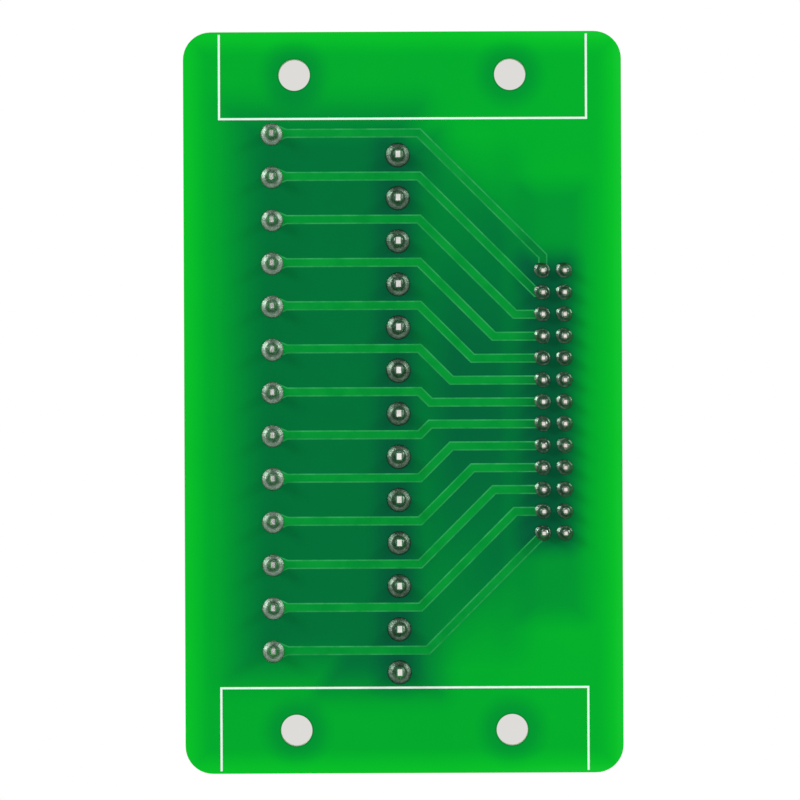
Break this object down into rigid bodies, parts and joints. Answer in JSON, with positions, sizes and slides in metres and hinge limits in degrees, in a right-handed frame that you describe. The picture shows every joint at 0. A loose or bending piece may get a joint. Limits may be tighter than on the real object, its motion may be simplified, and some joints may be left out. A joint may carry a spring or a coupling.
{
  "type": "ribbon cable breakout board",
  "caption": "Printed circuit board that takes a latched ribbon-cable header out to two levels of screw terminals, with a mounting hole near each corner.",
  "frame": {"origin": "centre of the rectangle of four mounting holes, on the board's solder face", "axes": "+X along the board, +Z square to the board towards the component side, +Y across it towards the ribbon header"},
  "size_m": [0.086, 0.0508, 0.0266],
  "materials": {
    "board": "green solder mask over glass-epoxy laminate, slightly translucent",
    "solder": "bright soft solder",
    "housing": "moulded green plastic",
    "contact": "tinned",
    "screw": "zinc plated",
    "clamp": "nickel plated",
    "header": "black glass-filled plastic",
    "pin": "plated",
    "latch": "black moulded plastic"
  },
  "bodies": {
    "board_assembly": {"circuit_board": "board", "solder_joints": "solder", "terminal_housing": "housing", "terminal_contacts": "contact", "header_body": "header", "header_pins": "pin"},
    "lower_screw_01": {"lower_screw_01": "screw"},
    "lower_clamp_01": {"lower_clamp_01": "clamp"},
    "lower_screw_02": {"lower_screw_02": "screw"},
    "lower_clamp_02": {"lower_clamp_02": "clamp"},
    "lower_screw_03": {"lower_screw_03": "screw"},
    "lower_clamp_03": {"lower_clamp_03": "clamp"},
    "lower_screw_04": {"lower_screw_04": "screw"},
    "lower_clamp_04": {"lower_clamp_04": "clamp"},
    "lower_screw_05": {"lower_screw_05": "screw"},
    "lower_clamp_05": {"lower_clamp_05": "clamp"},
    "lower_screw_06": {"lower_screw_06": "screw"},
    "lower_clamp_06": {"lower_clamp_06": "clamp"},
    "lower_screw_07": {"lower_screw_07": "screw"},
    "lower_clamp_07": {"lower_clamp_07": "clamp"},
    "lower_screw_08": {"lower_screw_08": "screw"},
    "lower_clamp_08": {"lower_clamp_08": "clamp"},
    "lower_screw_09": {"lower_screw_09": "screw"},
    "lower_clamp_09": {"lower_clamp_09": "clamp"},
    "lower_screw_10": {"lower_screw_10": "screw"},
    "lower_clamp_10": {"lower_clamp_10": "clamp"},
    "lower_screw_11": {"lower_screw_11": "screw"},
    "lower_clamp_11": {"lower_clamp_11": "clamp"},
    "lower_screw_12": {"lower_screw_12": "screw"},
    "lower_clamp_12": {"lower_clamp_12": "clamp"},
    "lower_screw_13": {"lower_screw_13": "screw"},
    "lower_clamp_13": {"lower_clamp_13": "clamp"},
    "upper_screw_01": {"upper_screw_01": "screw"},
    "upper_clamp_01": {"upper_clamp_01": "clamp"},
    "upper_screw_02": {"upper_screw_02": "screw"},
    "upper_clamp_02": {"upper_clamp_02": "clamp"},
    "upper_screw_03": {"upper_screw_03": "screw"},
    "upper_clamp_03": {"upper_clamp_03": "clamp"},
    "upper_screw_04": {"upper_screw_04": "screw"},
    "upper_clamp_04": {"upper_clamp_04": "clamp"},
    "upper_screw_05": {"upper_screw_05": "screw"},
    "upper_clamp_05": {"upper_clamp_05": "clamp"},
    "upper_screw_06": {"upper_screw_06": "screw"},
    "upper_clamp_06": {"upper_clamp_06": "clamp"},
    "upper_screw_07": {"upper_screw_07": "screw"},
    "upper_clamp_07": {"upper_clamp_07": "clamp"},
    "upper_screw_08": {"upper_screw_08": "screw"},
    "upper_clamp_08": {"upper_clamp_08": "clamp"},
    "upper_screw_09": {"upper_screw_09": "screw"},
    "upper_clamp_09": {"upper_clamp_09": "clamp"},
    "upper_screw_10": {"upper_screw_10": "screw"},
    "upper_clamp_10": {"upper_clamp_10": "clamp"},
    "upper_screw_11": {"upper_screw_11": "screw"},
    "upper_clamp_11": {"upper_clamp_11": "clamp"},
    "upper_screw_12": {"upper_screw_12": "screw"},
    "upper_clamp_12": {"upper_clamp_12": "clamp"},
    "upper_screw_13": {"upper_screw_13": "screw"},
    "upper_clamp_13": {"upper_clamp_13": "clamp"},
    "front_latch": {"front_latch": "latch"},
    "rear_latch": {"rear_latch": "latch"}
  },
  "joints": [
    {"name": "lower_screw_turn_01", "type": "hinge", "parent": "board_assembly", "child": "lower_screw_01", "pos_m": [0.03125, -0.0148, 0.0107], "axis": [0, 0, -1], "range_deg": [0, 1600]},
    {"name": "lower_clamp_rise_01", "type": "slide", "parent": "board_assembly", "child": "lower_clamp_01", "axis": [0, 0, 1], "range_m": [0, 0.002]},
    {"name": "lower_screw_turn_02", "type": "hinge", "parent": "board_assembly", "child": "lower_screw_02", "pos_m": [0.02625, -0.0148, 0.0107], "axis": [0, 0, -1], "range_deg": [0, 1600]},
    {"name": "lower_clamp_rise_02", "type": "slide", "parent": "board_assembly", "child": "lower_clamp_02", "axis": [0, 0, 1], "range_m": [0, 0.002]},
    {"name": "lower_screw_turn_03", "type": "hinge", "parent": "board_assembly", "child": "lower_screw_03", "pos_m": [0.02125, -0.0148, 0.0107], "axis": [0, 0, -1], "range_deg": [0, 1600]},
    {"name": "lower_clamp_rise_03", "type": "slide", "parent": "board_assembly", "child": "lower_clamp_03", "axis": [0, 0, 1], "range_m": [0, 0.002]},
    {"name": "lower_screw_turn_04", "type": "hinge", "parent": "board_assembly", "child": "lower_screw_04", "pos_m": [0.01625, -0.0148, 0.0107], "axis": [0, 0, -1], "range_deg": [0, 1600]},
    {"name": "lower_clamp_rise_04", "type": "slide", "parent": "board_assembly", "child": "lower_clamp_04", "axis": [0, 0, 1], "range_m": [0, 0.002]},
    {"name": "lower_screw_turn_05", "type": "hinge", "parent": "board_assembly", "child": "lower_screw_05", "pos_m": [0.01125, -0.0148, 0.0107], "axis": [0, 0, -1], "range_deg": [0, 1600]},
    {"name": "lower_clamp_rise_05", "type": "slide", "parent": "board_assembly", "child": "lower_clamp_05", "axis": [0, 0, 1], "range_m": [0, 0.002]},
    {"name": "lower_screw_turn_06", "type": "hinge", "parent": "board_assembly", "child": "lower_screw_06", "pos_m": [0.00625, -0.0148, 0.0107], "axis": [0, 0, -1], "range_deg": [0, 1600]},
    {"name": "lower_clamp_rise_06", "type": "slide", "parent": "board_assembly", "child": "lower_clamp_06", "axis": [0, 0, 1], "range_m": [0, 0.002]},
    {"name": "lower_screw_turn_07", "type": "hinge", "parent": "board_assembly", "child": "lower_screw_07", "pos_m": [0.00125, -0.0148, 0.0107], "axis": [0, 0, -1], "range_deg": [0, 1600]},
    {"name": "lower_clamp_rise_07", "type": "slide", "parent": "board_assembly", "child": "lower_clamp_07", "axis": [0, 0, 1], "range_m": [0, 0.002]},
    {"name": "lower_screw_turn_08", "type": "hinge", "parent": "board_assembly", "child": "lower_screw_08", "pos_m": [-0.00375, -0.0148, 0.0107], "axis": [0, 0, -1], "range_deg": [0, 1600]},
    {"name": "lower_clamp_rise_08", "type": "slide", "parent": "board_assembly", "child": "lower_clamp_08", "axis": [0, 0, 1], "range_m": [0, 0.002]},
    {"name": "lower_screw_turn_09", "type": "hinge", "parent": "board_assembly", "child": "lower_screw_09", "pos_m": [-0.00875, -0.0148, 0.0107], "axis": [0, 0, -1], "range_deg": [0, 1600]},
    {"name": "lower_clamp_rise_09", "type": "slide", "parent": "board_assembly", "child": "lower_clamp_09", "axis": [0, 0, 1], "range_m": [0, 0.002]},
    {"name": "lower_screw_turn_10", "type": "hinge", "parent": "board_assembly", "child": "lower_screw_10", "pos_m": [-0.01375, -0.0148, 0.0107], "axis": [0, 0, -1], "range_deg": [0, 1600]},
    {"name": "lower_clamp_rise_10", "type": "slide", "parent": "board_assembly", "child": "lower_clamp_10", "axis": [0, 0, 1], "range_m": [0, 0.002]},
    {"name": "lower_screw_turn_11", "type": "hinge", "parent": "board_assembly", "child": "lower_screw_11", "pos_m": [-0.01875, -0.0148, 0.0107], "axis": [0, 0, -1], "range_deg": [0, 1600]},
    {"name": "lower_clamp_rise_11", "type": "slide", "parent": "board_assembly", "child": "lower_clamp_11", "axis": [0, 0, 1], "range_m": [0, 0.002]},
    {"name": "lower_screw_turn_12", "type": "hinge", "parent": "board_assembly", "child": "lower_screw_12", "pos_m": [-0.02375, -0.0148, 0.0107], "axis": [0, 0, -1], "range_deg": [0, 1600]},
    {"name": "lower_clamp_rise_12", "type": "slide", "parent": "board_assembly", "child": "lower_clamp_12", "axis": [0, 0, 1], "range_m": [0, 0.002]},
    {"name": "lower_screw_turn_13", "type": "hinge", "parent": "board_assembly", "child": "lower_screw_13", "pos_m": [-0.02875, -0.0148, 0.0107], "axis": [0, 0, -1], "range_deg": [0, 1600]},
    {"name": "lower_clamp_rise_13", "type": "slide", "parent": "board_assembly", "child": "lower_clamp_13", "axis": [0, 0, 1], "range_m": [0, 0.002]},
    {"name": "upper_screw_turn_01", "type": "hinge", "parent": "board_assembly", "child": "upper_screw_01", "pos_m": [0.02875, -0.003, 0.0216], "axis": [0, 0, -1], "range_deg": [0, 1600]},
    {"name": "upper_clamp_rise_01", "type": "slide", "parent": "board_assembly", "child": "upper_clamp_01", "axis": [0, 0, 1], "range_m": [0, 0.002]},
    {"name": "upper_screw_turn_02", "type": "hinge", "parent": "board_assembly", "child": "upper_screw_02", "pos_m": [0.02375, -0.003, 0.0216], "axis": [0, 0, -1], "range_deg": [0, 1600]},
    {"name": "upper_clamp_rise_02", "type": "slide", "parent": "board_assembly", "child": "upper_clamp_02", "axis": [0, 0, 1], "range_m": [0, 0.002]},
    {"name": "upper_screw_turn_03", "type": "hinge", "parent": "board_assembly", "child": "upper_screw_03", "pos_m": [0.01875, -0.003, 0.0216], "axis": [0, 0, -1], "range_deg": [0, 1600]},
    {"name": "upper_clamp_rise_03", "type": "slide", "parent": "board_assembly", "child": "upper_clamp_03", "axis": [0, 0, 1], "range_m": [0, 0.002]},
    {"name": "upper_screw_turn_04", "type": "hinge", "parent": "board_assembly", "child": "upper_screw_04", "pos_m": [0.01375, -0.003, 0.0216], "axis": [0, 0, -1], "range_deg": [0, 1600]},
    {"name": "upper_clamp_rise_04", "type": "slide", "parent": "board_assembly", "child": "upper_clamp_04", "axis": [0, 0, 1], "range_m": [0, 0.002]},
    {"name": "upper_screw_turn_05", "type": "hinge", "parent": "board_assembly", "child": "upper_screw_05", "pos_m": [0.00875, -0.003, 0.0216], "axis": [0, 0, -1], "range_deg": [0, 1600]},
    {"name": "upper_clamp_rise_05", "type": "slide", "parent": "board_assembly", "child": "upper_clamp_05", "axis": [0, 0, 1], "range_m": [0, 0.002]},
    {"name": "upper_screw_turn_06", "type": "hinge", "parent": "board_assembly", "child": "upper_screw_06", "pos_m": [0.00375, -0.003, 0.0216], "axis": [0, 0, -1], "range_deg": [0, 1600]},
    {"name": "upper_clamp_rise_06", "type": "slide", "parent": "board_assembly", "child": "upper_clamp_06", "axis": [0, 0, 1], "range_m": [0, 0.002]},
    {"name": "upper_screw_turn_07", "type": "hinge", "parent": "board_assembly", "child": "upper_screw_07", "pos_m": [-0.00125, -0.003, 0.0216], "axis": [0, 0, -1], "range_deg": [0, 1600]},
    {"name": "upper_clamp_rise_07", "type": "slide", "parent": "board_assembly", "child": "upper_clamp_07", "axis": [0, 0, 1], "range_m": [0, 0.002]},
    {"name": "upper_screw_turn_08", "type": "hinge", "parent": "board_assembly", "child": "upper_screw_08", "pos_m": [-0.00625, -0.003, 0.0216], "axis": [0, 0, -1], "range_deg": [0, 1600]},
    {"name": "upper_clamp_rise_08", "type": "slide", "parent": "board_assembly", "child": "upper_clamp_08", "axis": [0, 0, 1], "range_m": [0, 0.002]},
    {"name": "upper_screw_turn_09", "type": "hinge", "parent": "board_assembly", "child": "upper_screw_09", "pos_m": [-0.01125, -0.003, 0.0216], "axis": [0, 0, -1], "range_deg": [0, 1600]},
    {"name": "upper_clamp_rise_09", "type": "slide", "parent": "board_assembly", "child": "upper_clamp_09", "axis": [0, 0, 1], "range_m": [0, 0.002]},
    {"name": "upper_screw_turn_10", "type": "hinge", "parent": "board_assembly", "child": "upper_screw_10", "pos_m": [-0.01625, -0.003, 0.0216], "axis": [0, 0, -1], "range_deg": [0, 1600]},
    {"name": "upper_clamp_rise_10", "type": "slide", "parent": "board_assembly", "child": "upper_clamp_10", "axis": [0, 0, 1], "range_m": [0, 0.002]},
    {"name": "upper_screw_turn_11", "type": "hinge", "parent": "board_assembly", "child": "upper_screw_11", "pos_m": [-0.02125, -0.003, 0.0216], "axis": [0, 0, -1], "range_deg": [0, 1600]},
    {"name": "upper_clamp_rise_11", "type": "slide", "parent": "board_assembly", "child": "upper_clamp_11", "axis": [0, 0, 1], "range_m": [0, 0.002]},
    {"name": "upper_screw_turn_12", "type": "hinge", "parent": "board_assembly", "child": "upper_screw_12", "pos_m": [-0.02625, -0.003, 0.0216], "axis": [0, 0, -1], "range_deg": [0, 1600]},
    {"name": "upper_clamp_rise_12", "type": "slide", "parent": "board_assembly", "child": "upper_clamp_12", "axis": [0, 0, 1], "range_m": [0, 0.002]},
    {"name": "upper_screw_turn_13", "type": "hinge", "parent": "board_assembly", "child": "upper_screw_13", "pos_m": [-0.03125, -0.003, 0.0216], "axis": [0, 0, -1], "range_deg": [0, 1600]},
    {"name": "upper_clamp_rise_13", "type": "slide", "parent": "board_assembly", "child": "upper_clamp_13", "axis": [0, 0, 1], "range_m": [0, 0.002]},
    {"name": "front_latch_tip", "type": "hinge", "parent": "board_assembly", "child": "front_latch", "pos_m": [0.02291, 0.01752, 0.0044], "axis": [0, 1, 0], "range_deg": [0, 35]},
    {"name": "rear_latch_tip", "type": "hinge", "parent": "board_assembly", "child": "rear_latch", "pos_m": [-0.02291, 0.01752, 0.0044], "axis": [0, -1, 0], "range_deg": [0, 35]}
  ],
  "couplings": [
    {"joint": "lower_screw_turn_01", "follows": "lower_clamp_rise_01", "rad_per_m": 13963},
    {"joint": "lower_screw_turn_02", "follows": "lower_clamp_rise_02", "rad_per_m": 13963},
    {"joint": "lower_screw_turn_03", "follows": "lower_clamp_rise_03", "rad_per_m": 13963},
    {"joint": "lower_screw_turn_04", "follows": "lower_clamp_rise_04", "rad_per_m": 13963},
    {"joint": "lower_screw_turn_05", "follows": "lower_clamp_rise_05", "rad_per_m": 13963},
    {"joint": "lower_screw_turn_06", "follows": "lower_clamp_rise_06", "rad_per_m": 13963},
    {"joint": "lower_screw_turn_07", "follows": "lower_clamp_rise_07", "rad_per_m": 13963},
    {"joint": "lower_screw_turn_08", "follows": "lower_clamp_rise_08", "rad_per_m": 13963},
    {"joint": "lower_screw_turn_09", "follows": "lower_clamp_rise_09", "rad_per_m": 13963},
    {"joint": "lower_screw_turn_10", "follows": "lower_clamp_rise_10", "rad_per_m": 13963},
    {"joint": "lower_screw_turn_11", "follows": "lower_clamp_rise_11", "rad_per_m": 13963},
    {"joint": "lower_screw_turn_12", "follows": "lower_clamp_rise_12", "rad_per_m": 13963},
    {"joint": "lower_screw_turn_13", "follows": "lower_clamp_rise_13", "rad_per_m": 13963},
    {"joint": "upper_screw_turn_01", "follows": "upper_clamp_rise_01", "rad_per_m": 13963},
    {"joint": "upper_screw_turn_02", "follows": "upper_clamp_rise_02", "rad_per_m": 13963},
    {"joint": "upper_screw_turn_03", "follows": "upper_clamp_rise_03", "rad_per_m": 13963},
    {"joint": "upper_screw_turn_04", "follows": "upper_clamp_rise_04", "rad_per_m": 13963},
    {"joint": "upper_screw_turn_05", "follows": "upper_clamp_rise_05", "rad_per_m": 13963},
    {"joint": "upper_screw_turn_06", "follows": "upper_clamp_rise_06", "rad_per_m": 13963},
    {"joint": "upper_screw_turn_07", "follows": "upper_clamp_rise_07", "rad_per_m": 13963},
    {"joint": "upper_screw_turn_08", "follows": "upper_clamp_rise_08", "rad_per_m": 13963},
    {"joint": "upper_screw_turn_09", "follows": "upper_clamp_rise_09", "rad_per_m": 13963},
    {"joint": "upper_screw_turn_10", "follows": "upper_clamp_rise_10", "rad_per_m": 13963},
    {"joint": "upper_screw_turn_11", "follows": "upper_clamp_rise_11", "rad_per_m": 13963},
    {"joint": "upper_screw_turn_12", "follows": "upper_clamp_rise_12", "rad_per_m": 13963},
    {"joint": "upper_screw_turn_13", "follows": "upper_clamp_rise_13", "rad_per_m": 13963}
  ]
}
